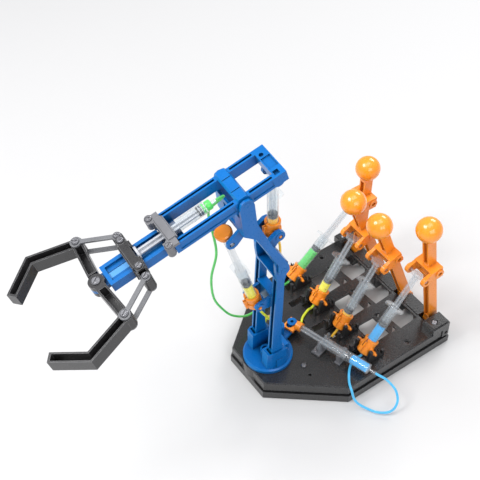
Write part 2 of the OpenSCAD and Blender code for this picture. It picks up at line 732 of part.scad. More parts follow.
// Cap over the tilt plunger's disc, slotted for its cross pin
module front_cap() color(ORANGE) in_front() translate([0, 0, tilt_l]) difference() {
  union() {
    z_rod(8, 1.7, 4.3);
    translate([0, 0, 4.2]) cylinder(r1=8, r2=6.8, h=1.2);
    z_rod(6.6, -1.8, 1.8);
  }
  z_rod(5.05, -3, 1.68);
  both_sides() {
    y_rod(1.7, 4, 10);
    box(-1.7, 1.7, 4, 10, -5, 0);
  }
}
module in_rear() {
  in_arm() in_syringe(pitch_foot, pitch_head) children();
}
module rear_barrel() color(CLEAR) in_rear() syringe_barrel(44);
module rear_collar() color(ORANGE) in_rear() syringe_collar(12.9);
module rear_plunger() color(CLEAR) in_rear() syringe_plunger(pitch_l, 50, 10.2, 5);
module slew_barrel() color(CLEAR) in_slew_syringe() rotate([180, 0, 0])
  syringe_barrel(flange_z=-39.6, base_z=-91, tip_z=-99);
module slew_plunger() color(CLEAR) in_slew_syringe() {
  translate([0, 0, 71.5]) mirror([0, 0, 1]) piston(0.1);
  ribs(6.4, 1.2, 8, 67.6);
  z_rod(3.3, 7, 8.6);
}
// Clip joining the crank pin to the slew plunger
module slew_clip() color(ORANGE) in_slew() difference() {
  rib_w = 3.26;
  rib_t = 0.66;
  union() {
    box(-4.9, 7.4, -8.9, 5, 29.3, 31.7);
    intersection() {
      x_rod(4.7, 6, 11.8, slew_z);
      box(5, 13, -6, 6, 29.3, 40);
    }
  }
  // slot for the crank pin
  z_rod(3.4, 20, 50, [0, 0.1]);
  z_rod(3.4, 20, 50, [0, -4]);
  box(-3.4, 3.4, -4, 0.1, 20, 50);
  // socket for the plunger's disc and ribs
  x_rod(3.36, 6.95, 8.65, slew_z);
  box(8.5, 14.6, -rib_w, rib_w, slew_z-rib_t, slew_z+rib_t);
  box(8.5, 14.6, -rib_t, rib_t, slew_z-rib_w, slew_z+rib_w);
}

// ---------- tubes: Catmull-Rom paths swept as closed tubes ----------
function spline(p, i, t) = let(a=p[max(i-1, 0)], b=p[i], c=p[i+1], d=p[min(i+2, len(p)-1)])
  0.5*((2*b) + (c-a)*t + (2*a-5*b+4*c-d)*t*t + (3*b-a-3*c+d)*t*t*t);
function path(p, steps=6) = concat(
  [for (i=[0:len(p)-2], k=[0:steps-1]) spline(p, i, k/steps)], [p[len(p)-1]]);
function tangent(q, i) = unit(q[min(i+1, len(q)-1)] - q[max(i-1, 0)]);
// ref sets how each ring of sides is turned about the path
module tube(p, ref) {
  r = tube_d/2;
  sides = 10;
  q = path(p);
  last = len(q)-1;
  points = [for (i=[0:last])
    let(t=tangent(q, i), s=unit(cross(t, ref)), w=cross(s, t))
    for (k=[0:sides-1]) q[i] + r*cos(360*k/sides)*s + r*sin(360*k/sides)*w];
  faces = concat([[for (k=[sides-1:-1:0]) k]],
    [for (i=[0:last-1], k=[0:sides-1]) let(a=i*sides, b=a+sides, next=(k+1)%sides)
      [a+k, a+next, b+next, b+k]],
    [[for (k=[0:sides-1]) last*sides+k]]);
  polyhedron(points=points, faces=faces);
}
// Points of the arm and boom frames in base coordinates
function arm_point(x, y, z) =
  [x*cos(arm_yaw)-y*sin(arm_yaw), x*sin(arm_yaw)+y*cos(arm_yaw), z];
function boom_point(x, y, z) = arm_point(x*cos(boom_pitch)+z*sin(boom_pitch), y,
  boom_z-x*sin(boom_pitch)+z*cos(boom_pitch));
// [x, z] on a syringe's axis, gap beyond a point just outside its nozzle
function below(foot, head, gap) = let(a=lean(foot, head)) foot - (10.2+gap)*[sin(a), cos(a)];
function master_out(i, gap) = let(q=below(master_foot, fork_pin(i), gap))
  [q[0], lever_y[i], q[1]];
function tilt_out(gap) = let(q=below(tilt_foot, tilt_head, gap)) arm_point(q[0], 0, q[1]);
function slew_out(x) =
  [crank.x+x*cos(slew_heading), crank.y+x*sin(slew_heading), slew_z];
module tube_gripper() color([0.2, 0.62, 0.25]) tube([
  master_out(0, 0.5), master_out(0, 2), [-65.5, -59.2, 23.6], [-54, -56, 27],
  [-30, -48, 29], [-6, -41, 35], [14, -38, 52], [28, -34.5, 76], [39, -31, 104],
  [43.4, -26, 140], [40.6, -20, 176], [43, -20.6, 206], [46.2, -20.2, 230],
  [47.4, -12, 246], boom_point(44.6, -2, -8), boom_point(48.6, 0, -4.2),
  boom_point(51.8, 0, grip_z)], [0.3, 1, 0.2]);
module tube_tilt() color([0.75, 0.8, 0.2]) tube([
  master_out(1, 0.5), master_out(1, 2), [-68.5, -20.8, 20.4], [-63.5, -19.2, 22.9],
  [-54, -15, 23.2], [-49.5, -11.6, 20.9], [-46, -9.6, 16.2], [-39, -10.5, 13.6],
  [-28, -19, 13.8], [-20, -27.5, 15], [-17.8, -29.3, 19.5], [-17.5, -29.5, 25],
  [-17.6, -26, 36], [-15.5, -15, 48], [-10, -5, 59], [-4, -1.4, 70], [3.6, -0.8, 84],
  [8.6, -0.8, 94], tilt_out(4.5), tilt_out(2), tilt_out(0.3)], [0.2, 1, 0.1]);
module tube_pitch() color([0.9, 0.72, 0.2]) tube([
  master_out(2, 0.5), master_out(2, 2), [-67, 17.1, 17.6], [-61.5, 16.9, 11.5],
  [-50, 12.5, 8.5], [-37, 0, 8.5], [-26, -15, 8.5], [-16, -26.5, 11], [-11.4, -30, 16.5],
  [-10.5, -30.5, 23.5], [-10.8, -28.5, 33], [-11.4, -20.5, 48], [-10.4, -8, 66],
  [-9, 0, 92], [-9.5, 0, 130], [-13, 0, 150], [-13.4, 0, 168], arm_point(-10.4, 0, 180),
  arm_point(pitch_foot[0], 0, pitch_foot[1]-13),
  arm_point(pitch_foot[0], 0, pitch_foot[1]-10.35)], [0.1, 1, 0.05]);
module tube_slew() color([0.25, 0.65, 0.85]) tube([
  master_out(3, 0.5), master_out(3, 2), [-64.2, 54.8, 22.9], [-57, 57.8, 23.3],
  [-49.5, 64, 23.2], [-42, 73.5, 23.3], [-38.5, 81.5, 22], [-38.5, 87, 13],
  [-43.5, 93, 5], [-52, 106, 3.2], [-62, 113, 5], [-70, 112, 12], [-72.3, 105.5, 22],
  [-69, 95.5, 29.8], slew_out(102), slew_out(99.2)], [0.3, 0.1, 1]);

// ---------- output ----------
base_deck();
axle_blocks();
master_brackets();
base_screws();
lever_axle();
slew_cradle();
turntable();
column();
link_frame();
link_hinge_pins();
boom_frame();
boom_pivot_pins();
syringe_clamp();
clamp_screws();
crosshead();
crosshead_screws();
jaw_near();
jaw_far();
jaw_pivot_screw();
jaw_screw_near();
jaw_screw_far();
link_rod_near();
link_rod_far();
lever(0);  // lever_1
lever(1);  // lever_2
lever(2);  // lever_3
lever(3);  // lever_4
knob(0);  // knob_1
knob(1);  // knob_2
knob(2);  // knob_3
knob(3);  // knob_4
master_barrel(0);  // master_barrel_1
master_barrel(1);  // master_barrel_2
master_barrel(2);  // master_barrel_3
master_barrel(3);  // master_barrel_4
master_collar(0);  // master_collar_1
master_collar(1);  // master_collar_2
master_collar(2);  // master_collar_3
master_collar(3);  // master_collar_4
master_plunger(0);  // master_plunger_1
master_plunger(1);  // master_plunger_2
master_plunger(2);  // master_plunger_3
master_plunger(3);  // master_plunger_4
front_barrel();
front_collar();
front_plunger();
front_cap();
rear_barrel();
rear_collar();
rear_plunger();
slew_barrel();
slew_plunger();
slew_clip();
gripper_barrel();
gripper_plunger();
tube_gripper();
tube_tilt();
tube_pitch();
tube_slew();
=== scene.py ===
"""A syringe-driven hydraulic robot arm on a base deck, standing on z = 0.

+X is forward: the arm stands at the origin with its boom towards +X, and four hand levers with
their master syringes lie side by side along Y at the -X end. Sizes are in mm (MM turns them into
metres). The CAD pieces get materials; water, seals, scale marks and tubes are built here.
"""
import bpy
import bmesh
import math
from fnmatch import fnmatchcase
from mathutils import Matrix, Vector

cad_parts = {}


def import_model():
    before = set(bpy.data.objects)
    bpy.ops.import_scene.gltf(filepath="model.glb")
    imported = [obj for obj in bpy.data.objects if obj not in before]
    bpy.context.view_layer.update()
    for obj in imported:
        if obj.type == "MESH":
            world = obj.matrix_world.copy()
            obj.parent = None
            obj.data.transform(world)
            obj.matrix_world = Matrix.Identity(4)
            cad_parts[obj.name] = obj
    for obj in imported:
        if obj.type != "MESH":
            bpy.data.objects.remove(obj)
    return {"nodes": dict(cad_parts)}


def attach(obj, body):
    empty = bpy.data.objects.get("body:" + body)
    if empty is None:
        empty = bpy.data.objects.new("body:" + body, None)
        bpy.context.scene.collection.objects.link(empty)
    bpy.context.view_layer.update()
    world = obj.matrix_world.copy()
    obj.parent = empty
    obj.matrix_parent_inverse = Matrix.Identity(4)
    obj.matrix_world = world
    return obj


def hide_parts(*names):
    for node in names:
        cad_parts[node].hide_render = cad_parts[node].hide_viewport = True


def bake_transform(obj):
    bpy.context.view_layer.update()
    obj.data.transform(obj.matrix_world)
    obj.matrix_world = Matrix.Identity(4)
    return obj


MM = 0.001


def record_size():
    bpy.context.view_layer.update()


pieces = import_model()["nodes"]
record_size()
scene = bpy.context.scene


# ---------------------------------------------------------------- places and local frames
def move(x, y, z):
    return Matrix.Translation((x, y, z))


def turn_y(angle):
    return Matrix.Rotation(angle, 4, "Y")


def turn_z(angle):
    return Matrix.Rotation(angle, 4, "Z")


def lean(start, end):
    """Angle from vertical, towards +X, of the line between two (x, z) points."""
    return math.atan2(end[0] - start[0], end[1] - start[1])


ARM_YAW = math.radians(-4)
BOOM_PITCH = math.radians(15.7)            # nose down
BOOM_PIVOT_Z = 279.2
ARM = turn_z(ARM_YAW)
BOOM = ARM @ move(0, 0, BOOM_PIVOT_Z) @ turn_y(BOOM_PITCH)

# Levers and master syringes; (x, z) pairs are in the lever's own plane
FIRST_LEVER_Y = -59.3
LEVER_PITCH = 38.2
LEVER_AXLE = (-161.0, 15.2)
LEVER_OFFSET = 15                          # plunger joint, forward of the lever's centre line
MASTER_FOOT = (-78.0, 31.7)
LEVERS = [  # lean in degrees, joint distance up the lever, joint to seal, water colour
    (-2, 76, 62, "green"),
    (19.5, 88, 54.5, "yellow"),
    (19.5, 88, 62, "gold"),
    (8.4, 88, 62, "blue"),
]

# Arm syringes: (x, z) of each end in the arm's plane, and far end to seal
FRONT_FOOT, FRONT_HEAD, FRONT_ROD = (15.3, 113.8), (42.6, 216.5), 80
REAR_FOOT, REAR_HEAD, REAR_ROD = (-5.2, 198), (-5, 262), 50
SLEW_ORIGIN = (-37.04, -10.59, 32)
SLEW_ANGLE = math.radians(105.945)
GRIP_DROP = 4                              # gripper syringe axis below the boom pivot


def lever_joint(degrees, reach):
    """The (x, z) point where a plunger meets its lever."""
    angle = math.radians(degrees)
    return (LEVER_AXLE[0] + reach * math.sin(angle) + LEVER_OFFSET * math.cos(angle),
            LEVER_AXLE[1] + reach * math.cos(angle) - LEVER_OFFSET * math.sin(angle))


def master_frame(number):
    degrees, reach = LEVERS[number][:2]
    foot = move(MASTER_FOOT[0], FIRST_LEVER_Y + number * LEVER_PITCH, MASTER_FOOT[1])
    return foot @ turn_y(lean(MASTER_FOOT, lever_joint(degrees, reach)))


def arm_frame(foot, head):
    return ARM @ move(foot[0], 0, foot[1]) @ turn_y(lean(foot, head))


# Each syringe lies along the z axis of its frame
MASTERS = [master_frame(number) for number in range(len(LEVERS))]
FRONT = arm_frame(FRONT_FOOT, FRONT_HEAD)
REAR = arm_frame(REAR_FOOT, REAR_HEAD)
SLEW = move(*SLEW_ORIGIN) @ turn_z(SLEW_ANGLE) @ turn_y(math.pi / 2)
GRIP = BOOM @ move(0, 0, -GRIP_DROP) @ turn_y(math.pi / 2)


# ---------------------------------------------------------------- shader helpers
def rgba(colour):
    return (*colour, 1)


def new_material(name):
    material = bpy.data.materials.new(name)
    material.use_nodes = True
    material.node_tree.nodes.clear()
    return material, material.node_tree


def node(tree, kind, inputs=None, **settings):
    """Add a node; each input takes either a value or another node's output."""
    new = tree.nodes.new("ShaderNode" + kind)
    for key, value in settings.items():
        setattr(new, key, value)
    for key, value in (inputs or {}).items():
        if isinstance(value, bpy.types.NodeSocket):
            tree.links.new(value, new.inputs[key])
        else:
            new.inputs[key].default_value = value
    return new


def output(tree, shader):
    node(tree, "OutputMaterial", {0: shader.outputs[0]})


def calc(tree, operation, *values, clamp=False):
    inputs = dict(enumerate(values))
    return node(tree, "Math", inputs, operation=operation, use_clamp=clamp).outputs[0]


def ramp(tree, factor, *stops):
    """Two-stop ramp; a stop is a position and a grey level or a colour."""
    new = node(tree, "ValToRGB", {0: factor})
    for element, (position, value) in zip(new.color_ramp.elements, stops):
        element.position = position
        element.color = rgba(value if isinstance(value, tuple) else (value,) * 3)
    return new.outputs[0]


def tint(tree, base, mask, amount, colour):
    """Lay a flat colour over the base where the mask is bright."""
    factor = calc(tree, "MULTIPLY", mask, amount)
    inputs = {0: factor, 6: base, 7: rgba(colour)}
    return node(tree, "Mix", inputs, data_type="RGBA").outputs[2]


def coordinates(tree):
    return node(tree, "TexCoord").outputs["Object"]


def noise(tree, vector, scale, detail):
    inputs = {"Vector": vector, "Scale": scale, "Detail": detail}
    return node(tree, "TexNoise", inputs).outputs[0]


def facing(tree, blend):
    return node(tree, "LayerWeight", {"Blend": blend}).outputs["Facing"]


def mix_shaders(tree, factor, first, second):
    return node(tree, "MixShader", {0: factor, 1: first.outputs[0], 2: second.outputs[0]})


def grained_surface(tree, vector, bevel, grain, bump):
    """Return fine noise, the rounded-edge normal, and that normal with the noise as bumps."""
    fine = noise(tree, vector, scale=grain, detail=2.0)
    rounded = node(tree, "Bevel", {"Radius": bevel * MM}, samples=4).outputs[0]
    inputs = {"Strength": bump, "Distance": 0.0006, "Height": fine, "Normal": rounded}
    return fine, rounded, node(tree, "Bump", inputs).outputs[0]


def edge_highlight_mask(tree, rounded, geometry):
    """Painted highlight mask: bright where the rounded normal departs from the true one."""
    inputs = {0: rounded, 1: geometry.outputs["Normal"]}
    match = node(tree, "VectorMath", inputs, operation="DOT_PRODUCT").outputs["Value"]
    return ramp(tree, match, (0.82, 1.0), (0.985, 0.0))


# ---------------------------------------------------------------- material kinds
def plastic(name, colour, roughness=0.32, edge_highlight_colour=None, edge_highlight_amount=0.5, coat=0.0,
            bump=0.05, variation=0.06, specular=0.5, subsurface=0.0, bevel=0.35,
            grain=900.0, painted_front_light=None, painted_shade=0.0):
    """Moulded plastic; bevel is in mm; painted_front_light is (colour, amount) for a paler painted
    tint on faces towards +X; painted_shade sets how strongly recesses are darkened with painted
    shade; edge highlight colours are painted highlights on edges.
    """
    material, tree = new_material(name)
    vector = coordinates(tree)
    fine, rounded, normal = grained_surface(tree, vector, bevel, grain, bump)
    if painted_front_light or edge_highlight_colour:
        geometry = node(tree, "NewGeometry")
    dark = tuple(max(0, c * (1 - variation)) for c in colour)
    light = tuple(min(1, c * (1 + variation)) for c in colour)
    base = ramp(tree, noise(tree, vector, scale=60.0, detail=3.0), (0.35, dark), (0.65, light))
    if painted_front_light:
        # Painted light: faces towards +X are painted paler, as if lit from the front
        split = node(tree, "SeparateXYZ", {0: geometry.outputs["Normal"]})
        mask = ramp(tree, split.outputs["X"], (0.55, 0.0), (0.95, 1.0))
        base = tint(tree, base, mask, amount=painted_front_light[1], colour=painted_front_light[0])
    if painted_shade:
        # Painted shade: corners and recesses are darkened where ambient occlusion finds them
        # shaded
        occlusion = node(tree, "AmbientOcclusion", {"Distance": 0.012}, samples=4)
        mask = ramp(tree, occlusion.outputs["AO"], (0.25, 1.0), (0.8, 0.0))
        base = tint(tree, base, mask, amount=painted_shade, colour=tuple(c * 0.22 for c in colour))
    # Painted highlight: edges get a lighter painted colour
    if edge_highlight_colour:
        mask = edge_highlight_mask(tree, rounded, geometry)
        base = tint(tree, base, mask, amount=edge_highlight_amount, colour=edge_highlight_colour)
    inputs = {
        "Base Color": base,
        "Normal": normal,
        "Roughness": ramp(tree, fine, (0.3, roughness * 0.85), (0.7, min(1, roughness * 1.2))),
        "Specular IOR Level": specular,
        "Coat Weight": coat,
        "Coat Roughness": 0.12,
    }
    if subsurface:
        inputs["Subsurface Weight"] = subsurface
        inputs["Subsurface Radius"] = (0.004, 0.0015, 0.0005)
        inputs["Subsurface Scale"] = 0.6
    output(tree, node(tree, "BsdfPrincipled", inputs))
    return material


def metal(name, colour, roughness):
    """Metal brushed along X, with painted highlights on its edges."""
    material, tree = new_material(name)
    fine, rounded, normal = grained_surface(
        tree, coordinates(tree), bevel=0.25, grain=1500.0, bump=0.08)
    stretched = node(tree, "Mapping", {0: coordinates(tree), "Scale": (90, 2600, 2600)})
    brushing = noise(tree, stretched.outputs[0], scale=1.0, detail=3.0)
    base = ramp(tree, brushing, (0.3, tuple(c * 0.82 for c in colour)), (0.7, colour))
    # Painted highlight: edges are tinted near-white
    mask = edge_highlight_mask(tree, rounded, node(tree, "NewGeometry"))
    output(tree, node(tree, "BsdfPrincipled", {
        "Base Color": tint(tree, base, mask, amount=0.5, colour=(0.9, 0.9, 0.92)),
        "Normal": normal,
        "Metallic": 0.85,
        "Roughness": ramp(tree, fine, (0.3, roughness * 0.8), (0.7, roughness * 1.3)),
    }))
    return material


def clear(name, through, milk, face_cover, edge_cover, roughness, painted_glow):
    """Clear plastic: see-through face on, milky and reflective at grazing angles, with a faint
    painted glow from emission.
    """
    material, tree = new_material(name)
    flow = noise(tree, coordinates(tree), scale=260.0, detail=2.0)
    cover = ramp(tree, facing(tree, blend=0.35), (0.4, face_cover), (0.97, edge_cover))
    streaks = ramp(tree, flow, (0.3, 0.8), (0.7, 1.15))
    cover = calc(tree, "MULTIPLY", streaks, cover, clamp=True)
    window = node(tree, "BsdfTransparent", {0: rgba(through)})
    # Painted light: the milky part has a faint white emission that lightens it
    milky = node(tree, "BsdfPrincipled", {
        "Base Color": rgba(milk),
        "Roughness": roughness,
        "Specular IOR Level": 0.8,
        "Coat Weight": 0.6,
        "Emission Color": (0.9, 0.95, 1.0, 1),
        "Emission Strength": painted_glow,
    })
    body = mix_shaders(tree, cover, window, milky)
    gloss = node(tree, "BsdfGlossy", {"Roughness": roughness})
    # Reflection grows at grazing angles, on outer faces only
    grazing = calc(tree, "POWER", facing(tree, blend=0.5), 5.0)
    reflection = calc(tree, "MULTIPLY_ADD", grazing, 0.8, 0.045)
    outside = calc(tree, "SUBTRACT", 1.0, node(tree, "NewGeometry").outputs["Backfacing"])
    reflection = calc(tree, "MULTIPLY", reflection, outside)
    output(tree, mix_shaders(tree, reflection, body, gloss))
    return material


def liquid(name, colour, density):
    """Coloured see-through water, lit by a painted glow from a weak emission, and denser at
    grazing angles.
    """
    material, tree = new_material(name)
    dark = tuple(c * 0.9 for c in colour)
    light = tuple(min(1, c * 1.08) for c in colour)
    cloud = noise(tree, coordinates(tree), scale=180.0, detail=2.0)
    base = ramp(tree, cloud, (0.3, dark), (0.7, light))
    window = node(tree, "BsdfTransparent", {0: base})
    # Painted light: an emission in the water's colour makes it glow
    body = node(tree, "BsdfPrincipled", {
        "Base Color": base,
        "Roughness": 0.1,
        "Emission Color": base,
        "Emission Strength": 0.3,
    })
    cover = ramp(tree, facing(tree, blend=0.4),
                 (0.1, density * 0.8), (0.9, min(1, density * 1.25)))
    output(tree, mix_shaders(tree, cover, window, body))
    return material


# ---------------------------------------------------------------- materials
# Painted light in these materials: +X faces of the blue get a paler painted tint, recesses are
# darkened with painted shade, and edges get a painted highlight colour.
BLUE = plastic("blue_abs", (0.0, 0.125, 0.42), roughness=0.3, edge_highlight_colour=(0.03, 0.33, 0.72),
               edge_highlight_amount=0.55, coat=0.06, variation=0.05, bump=0.012, specular=0.3,
               painted_front_light=((0.01, 0.26, 0.62), 0.4), painted_shade=0.85)
ORANGE = plastic("orange_abs", (0.90, 0.27, 0.015), roughness=0.3, edge_highlight_colour=(1.0, 0.50, 0.12),
                 coat=0.25, variation=0.05, subsurface=0.12, bump=0.015, painted_shade=0.45)
KNOB = plastic("orange_knob", (0.95, 0.31, 0.015), roughness=0.22, coat=0.5, variation=0.03,
               subsurface=0.15, bump=0.01)
DECK = plastic("charcoal_abs", (0.019, 0.0185, 0.0185), roughness=0.26,
               edge_highlight_colour=(0.26, 0.26, 0.27), edge_highlight_amount=0.55, coat=0.3, bump=0.04,
               variation=0.14, bevel=0.5, grain=1400.0, painted_shade=0.4)
BLACK = plastic("black_abs", (0.022, 0.021, 0.022), roughness=0.3,
                edge_highlight_colour=(0.42, 0.42, 0.43), edge_highlight_amount=0.7, coat=0.2, bump=0.08,
                variation=0.12, bevel=0.45)
PRONG = plastic("prong_black", (0.02, 0.02, 0.021), roughness=0.42,
                edge_highlight_colour=(0.16, 0.16, 0.17), bump=0.08)
GREY = plastic("grey_abs", (0.15, 0.15, 0.16), roughness=0.34, edge_highlight_colour=(0.5, 0.5, 0.52),
               bump=0.08, variation=0.1, coat=0.15)
STEEL = metal("plated_steel", (0.62, 0.63, 0.66), roughness=0.28)
SCREW = metal("dark_screw", (0.22, 0.22, 0.235), roughness=0.34)
STRIPE = plastic("blue_abs_polished", (0.10, 0.33, 0.68), roughness=0.16,
                 edge_highlight_colour=(0.35, 0.6, 0.9), coat=0.4, bump=0.01)
LINK_ROD = plastic("rod_grey", (0.15, 0.152, 0.16), roughness=0.28,
                   edge_highlight_colour=(0.62, 0.62, 0.64), edge_highlight_amount=0.7, coat=0.3, variation=0.08,
                   bevel=0.3)
# The glow values of the clear materials are a painted emission that lightens them
BARREL = clear("clear_barrel", through=(0.97, 0.985, 0.99), milk=(0.66, 0.70, 0.73),
               face_cover=0.07, edge_cover=0.66, roughness=0.08, painted_glow=0.07)
PLUNGER = clear("clear_plunger", through=(0.95, 0.96, 0.965), milk=(0.58, 0.61, 0.64),
                face_cover=0.2, edge_cover=0.66, roughness=0.14, painted_glow=0.05)
GRIP_ROD = plastic("gripper_rod", (0.42, 0.43, 0.46), roughness=0.25,
                   edge_highlight_colour=(0.85, 0.85, 0.88), edge_highlight_amount=0.6, coat=0.3, variation=0.1)
RUBBER = plastic("seal_rubber", (0.025, 0.025, 0.026), roughness=0.55,
                 edge_highlight_colour=(0.1, 0.1, 0.1), edge_highlight_amount=0.3, bump=0.15)
INK = plastic("scale_ink", (0.03, 0.03, 0.035), roughness=0.5, variation=0.2)

WATER, TUBE = {}, {}
for shade, water_colour, water_density, tube_colour, tube_density in (
    ("green", (0.12, 0.66, 0.14), 0.85, (0.10, 0.50, 0.12), 0.9),
    ("yellow", (0.86, 0.78, 0.01), 0.95, (0.62, 0.68, 0.05), 0.9),
    ("gold", (0.92, 0.55, 0.01), 0.95, (0.80, 0.52, 0.06), 0.9),
    ("blue", (0.01, 0.42, 0.80), 0.95, (0.10, 0.50, 0.78), 0.85),
):
    WATER[shade] = liquid("water_" + shade, water_colour, water_density)
    TUBE[shade] = liquid("tube_" + shade, tube_colour, tube_density)

# Name patterns of the CAD pieces and their material; the first match counts
PIECE_MATERIALS = [
    ("base_deck axle_blocks", DECK),
    ("turntable column link_frame boom_frame link_hinge_pins boom_pivot_pins", BLUE),
    ("knob*", KNOB),
    ("lever_axle", STEEL),
    ("lever_* *collar* front_cap slew_clip", ORANGE),
    ("crosshead jaw_near jaw_far", BLACK),
    ("master_brackets", PRONG),
    ("syringe_clamp slew_cradle", GREY),
    ("gripper_plunger", GRIP_ROD),
    ("*barrel*", BARREL),
    ("*plunger*", PLUNGER),
    ("link_rod*", LINK_ROD),
    ("tube*", TUBE["green"]),
    ("*", SCREW),
]


def paint_pieces():
    for name, piece in pieces.items():
        material = next(material for patterns, material in PIECE_MATERIALS
                        if any(fnmatchcase(name, pattern) for pattern in patterns.split()))
        if not piece.data.materials:
            piece.data.materials.append(material)
        for slot in piece.material_slots:
            slot.material = material


def paint_stripe():
    """Polish the deeper middle strip of the channel in the boom's tongue."""
    boom = pieces["boom_frame"]
    boom.data.materials.append(STRIPE)
    stripe_slot = len(boom.material_slots) - 1
    to_boom = BOOM.inverted()
    for face in boom.data.polygons:
        along, across, height = to_boom @ (boom.matrix_world @ face.center / MM)
        if 104 < along < 157 and abs(across) < 3.3 and -9.1 < height < -8.9:
            face.material_index = stripe_slot


paint_pieces()
paint_stripe()


# ---------------------------------------------------------------- mesh helpers
def add_object(name, bm, material, solid=True):
    """Turn a bmesh into an object; solids get outward normals and smooth shading."""
    if solid:
        bmesh.ops.recalc_face_normals(bm, faces=bm.faces)
    mesh = bpy.data.meshes.new(name)
    bm.to_mesh(mesh)
    bm.free()
    new = bpy.data.objects.new(name, mesh)
    scene.collection.objects.link(new)
    mesh.materials.append(material)
    if solid:
        for face in mesh.polygons:
            face.use_smooth = True
    return new


def lathe(name, profile, frame, material, body=None, segments=40):
    """Turn (radius, z) points about the frame's z axis: axis to axis, or a closed ring."""
    bm = bmesh.new()
    rows = []
    for radius, z in profile:
        on_axis = radius < 1e-6
        row = []
        for k in range(1 if on_axis else segments):
            angle = 2 * math.pi * k / segments
            point = Vector((radius * math.cos(angle), radius * math.sin(angle), z))
            row.append(bm.verts.new((frame @ point) * MM))
        rows.append(row)
    pairs = list(zip(rows[:-1], rows[1:]))
    if len(rows[0]) > 1:
        pairs.append((rows[-1], rows[0]))
    for a, b in pairs:
        for k in range(segments):
            after = (k + 1) % segments
            if len(a) == 1:
                bm.faces.new((a[0], b[after], b[k]))
            elif len(b) == 1:
                bm.faces.new((a[k], a[after], b[0]))
            else:
                bm.faces.new((a[k], a[after], b[after], b[k]))
    new = add_object(name, bm, material)
    if body:
        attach(new, body)
    return new


# ---------------------------------------------------------------- syringe contents
WATER_RADIUS = 4.42
SEAL_RADIUS = 4.47
SEAL_GAP = 0.15
MASTER_WATER_START = -3.9
SEAL_PROFILE = [  # radius, distance from the wet face
    (0, -0.1), (2.0, -0.05), (3.4, 0.35), (SEAL_RADIUS - 0.25, 0.8), (SEAL_RADIUS, 1.1),
    (SEAL_RADIUS, 1.9), (SEAL_RADIUS - 0.3, 2.15), (SEAL_RADIUS - 0.75, 2.4),
    (SEAL_RADIUS - 0.75, 2.8), (SEAL_RADIUS - 0.3, 3.05), (SEAL_RADIUS, 3.3),
    (SEAL_RADIUS, 4.1), (SEAL_RADIUS - 0.3, 4.5), (3.6, 4.6), (0, 4.6),
]


def fill(name, frame, start, seal_face, colour, plunger):
    """Water from start to just short of the seal face; then the seal, attached to the plunger."""
    way = 1 if seal_face > start else -1
    end = seal_face - way * SEAL_GAP
    foot, shoulder = start + 0.7 * way, end - 0.9 * way
    radius = WATER_RADIUS
    profile = [
        (0, start), (radius - 0.6, start), (radius - 0.15, start + 0.2 * way), (radius, foot),
        (radius, shoulder), (radius, end - 0.1 * way), (radius - 0.3, end - 0.15 * way),
        (radius - 1.2, end - 0.35 * way), (0, end - 0.45 * way),
    ]
    water = lathe(f"water_{name}", profile, frame, WATER[colour])
    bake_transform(water)
    lathe(f"seal_{name}", [(r, seal_face + way * z) for r, z in SEAL_PROFILE],
          frame, RUBBER, plunger)


MARK_STEP = 3
MARK_RADII = (5.205, 5.235)                # just outside the barrel wall
MARK_HALF_HEIGHT = 0.11
LONG_MARK, SHORT_MARK = 0.62, 0.36         # arcs in radians; every fifth mark is long
MARK_ANGLE = math.pi * 0.32


def marks(name, frame, start, stop, body, side=1):
    """Plain scale marks: thin curved pads on the barrel wall."""
    bm = bmesh.new()
    for number, height in enumerate(range(start, stop, MARK_STEP)):
        arc = SHORT_MARK if number % 5 else LONG_MARK
        rows = []
        for radius in MARK_RADII:
            for z in (height - MARK_HALF_HEIGHT, height + MARK_HALF_HEIGHT):
                angles = [MARK_ANGLE * side + (k / 8 - 0.5) * arc for k in range(9)]
                points = [Vector((radius * math.cos(a), radius * math.sin(a), z))
                          for a in angles]
                rows.append([bm.verts.new((frame @ point) * MM) for point in points])
        inner_low, inner_high, outer_low, outer_high = rows
        for k in range(8):
            for a, b in ((inner_low, inner_high), (outer_high, outer_low),
                         (outer_low, inner_low), (inner_high, outer_high)):
                bm.faces.new((a[k], a[k + 1], b[k + 1], b[k]))
        bm.faces.new((inner_low[0], inner_high[0], outer_high[0], outer_low[0]))
        bm.faces.new((inner_low[8], outer_low[8], outer_high[8], inner_high[8]))
    new = add_object(f"marks_{name}", bm, INK)
    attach(new, body)


for number, (degrees, reach, rod, colour) in enumerate(LEVERS):
    length = math.dist(MASTER_FOOT, lever_joint(degrees, reach))
    label = number + 1
    fill(f"master_{label}", MASTERS[number], MASTER_WATER_START, length - rod, colour,
         f"master_plunger_{label}")
    marks(f"master_{label}", MASTERS[number], 13, 44, f"master_barrel_{label}")

fill("tilt", FRONT, MASTER_WATER_START, math.dist(FRONT_FOOT, FRONT_HEAD) - FRONT_ROD,
     "yellow", "front_plunger")
fill("pitch", REAR, MASTER_WATER_START, math.dist(REAR_FOOT, REAR_HEAD) - REAR_ROD,
     "gold", "rear_plunger")
fill("slew", SLEW, 89.9, 71.5, "blue", "slew_plunger")
fill("grip", GRIP, 63.1, 65, "green", "crosshead")
marks("tilt", FRONT, 14, 46, "front_barrel")
marks("grip", GRIP, 68, 92, "boom", side=-1)
SLEEVE_PROFILE = [(3.45, 56.6), (4.1, 56.9), (4.35, 57.4), (4.35, 61.2), (4.1, 61.6), (3.45, 61.7)]
lathe("grip_luer_sleeve", SLEEVE_PROFILE, GRIP, WATER["green"], "boom")

# ---------------------------------------------------------------- tubes
TUBE_RADIUS = 1.18
TUBE_SIDES = 16
CURVE_STEPS = 14                           # per span between route points
NOZZLE = 10.2                              # nozzle tip, behind the syringe's origin


def nozzle(frame, distance):
    """Point on a syringe's axis, a distance out from its nozzle tip."""
    return frame @ Vector((0, 0, -NOZZLE - distance))


def on_slew(z):
    return SLEW @ Vector((0, 0, z))


def on_arm(x, y, z):
    return ARM @ Vector((x, y, z))


